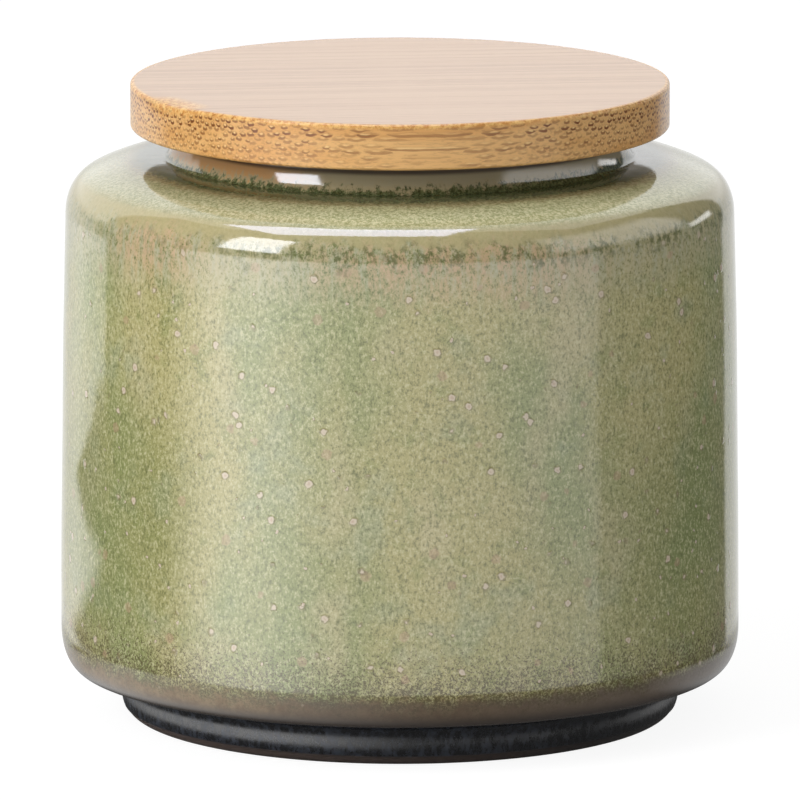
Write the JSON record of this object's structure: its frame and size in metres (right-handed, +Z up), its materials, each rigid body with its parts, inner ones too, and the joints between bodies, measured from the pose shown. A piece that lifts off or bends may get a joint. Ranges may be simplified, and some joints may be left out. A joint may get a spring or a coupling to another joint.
{
  "type": "tea canister",
  "caption": "Squat round stoneware jar with a foot ring, domed shoulder and short neck, closed by a flat bamboo lid whose plug and finned seal push into the neck.",
  "frame": {"origin": "centre of the foot ring's bearing plane", "axes": "+Z up along the jar's axis, towards the lid; -Y towards the viewer of the picture; +X to the viewer's right"},
  "size_m": [0.105, 0.105, 0.0986],
  "materials": {
    "glaze": "glossy reactive glaze, mottled green, breaking to brown at the shoulder and base and near black on the foot",
    "bamboo": "satin clear-coated bamboo slab, grain across the lid, fibre bundles showing as dots on the end grain",
    "plug_bamboo": "plain turned bamboo, matt",
    "silicone": "milky translucent silicone, satin"
  },
  "bodies": {
    "jar": {"jar": "glaze"},
    "seal": {"seal_ring": "silicone"},
    "lid": {"lid_disc": "bamboo", "lid_plug": "plug_bamboo"}
  },
  "joints": [
    {"name": "lid_lift", "type": "slide", "parent": "jar", "child": "seal", "axis": [0, 0, 1], "range_m": [0, 0.08]},
    {"name": "lid_turn", "type": "hinge", "parent": "seal", "child": "lid", "pos_m": [0, 0, 0.0916], "axis": [0, 0, 1], "continuous": true}
  ]
}
